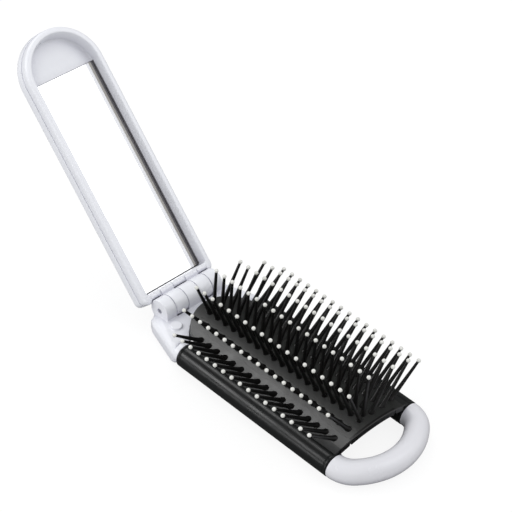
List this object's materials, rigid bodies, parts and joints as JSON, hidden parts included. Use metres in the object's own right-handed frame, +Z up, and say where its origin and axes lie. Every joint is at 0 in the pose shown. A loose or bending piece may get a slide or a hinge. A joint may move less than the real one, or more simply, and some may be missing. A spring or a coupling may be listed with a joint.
{
  "type": "folding hairbrush with mirror",
  "caption": "Pocket hairbrush with fanned ball-tip pins on an arched pad between two rails, a finger loop at one end and a hinged lid with a recessed mirror at the other.",
  "frame": {"origin": "on the support plane, straight below the middle of the lid's hinge axis, at the rest_face mount", "axes": "+X from the hinge to the finger loop, +Y to the right rail, +Z up"},
  "size_m": [0.1858, 0.0534, 0.0853],
  "materials": {
    "white_shell": "smooth white gloss",
    "black_rubber": "satin black",
    "pearl_bead": "pearl gloss",
    "mirror": "polished",
    "tape": "foam",
    "pin_steel": "drawn"
  },
  "bodies": {
    "base": {"yoke": "white_shell", "loop_bar": "white_shell", "hinge_pin": "pin_steel"},
    "lid": {"lid_cover": "white_shell", "lid_frame": "white_shell", "mirror_glass": "mirror", "mirror_tape": "tape"},
    "rail_left": {"sleeve_left": "black_rubber"},
    "rail_right": {"sleeve_right": "black_rubber"},
    "row_1": {"pad_row_1": "black_rubber", "tips_row_1": "pearl_bead"},
    "row_2": {"pad_row_2": "black_rubber", "tips_row_2": "pearl_bead"},
    "row_3": {"pad_row_3": "black_rubber", "tips_row_3": "pearl_bead"},
    "row_4": {"pad_row_4": "black_rubber", "tips_row_4": "pearl_bead"},
    "row_5": {"pad_row_5": "black_rubber", "tips_row_5": "pearl_bead"},
    "row_6": {"pad_row_6": "black_rubber", "tips_row_6": "pearl_bead"},
    "row_7": {"pad_row_7": "black_rubber", "tips_row_7": "pearl_bead"}
  },
  "joints": [
    {"name": "lid_fold", "type": "hinge", "parent": "base", "child": "lid", "pos_m": [0, 0, 0.0095], "axis": [0, 1, 0], "range_deg": [0, 133.6]},
    {"name": "sleeve_left_roll", "type": "hinge", "parent": "base", "child": "rail_left", "pos_m": [0.0546, -0.0178, 0.0044], "axis": [1, 0, 0], "range_deg": [-24.2, 0]},
    {"name": "sleeve_right_roll", "type": "hinge", "parent": "base", "child": "rail_right", "pos_m": [0.0546, 0.0178, 0.0044], "axis": [1, 0, 0], "range_deg": [0, 24.2]},
    {"name": "row_1_gather", "type": "hinge", "parent": "base", "child": "row_1", "pos_m": [0.0546, -0.02497, 0.00374], "axis": [1, 0, 0], "range_deg": [-54, 0]},
    {"name": "row_2_gather", "type": "hinge", "parent": "base", "child": "row_2", "pos_m": [0.0546, -0.03205, 0.00385], "axis": [1, 0, 0], "range_deg": [-36.5, 0]},
    {"name": "row_3_gather", "type": "hinge", "parent": "base", "child": "row_3", "pos_m": [0.0546, -0.05341, 0.00384], "axis": [1, 0, 0], "range_deg": [-20.4, 0]},
    {"name": "row_5_gather", "type": "hinge", "parent": "base", "child": "row_5", "pos_m": [0.0546, 0.05341, 0.00384], "axis": [1, 0, 0], "range_deg": [0, 20.4]},
    {"name": "row_6_gather", "type": "hinge", "parent": "base", "child": "row_6", "pos_m": [0.0546, 0.03205, 0.00385], "axis": [1, 0, 0], "range_deg": [0, 36.5]},
    {"name": "row_7_gather", "type": "hinge", "parent": "base", "child": "row_7", "pos_m": [0.0546, 0.02497, 0.00374], "axis": [1, 0, 0], "range_deg": [0, 54]},
    {"name": "row_4_drop", "type": "slide", "parent": "base", "child": "row_4", "axis": [0, 0, 1], "range_m": [-0.01872, 0]}
  ],
  "couplings": [
    {"joint": "sleeve_left_roll", "follows": "lid_fold", "ratio": -0.17964},
    {"joint": "sleeve_right_roll", "follows": "lid_fold", "ratio": 0.17964},
    {"joint": "row_1_gather", "follows": "lid_fold", "ratio": -0.4027},
    {"joint": "row_2_gather", "follows": "lid_fold", "ratio": -0.27171},
    {"joint": "row_3_gather", "follows": "lid_fold", "ratio": -0.1512},
    {"joint": "row_5_gather", "follows": "lid_fold", "ratio": 0.1512},
    {"joint": "row_6_gather", "follows": "lid_fold", "ratio": 0.27171},
    {"joint": "row_7_gather", "follows": "lid_fold", "ratio": 0.4027},
    {"joint": "row_4_drop", "follows": "lid_fold", "m_per_rad": -0.0080197}
  ]
}
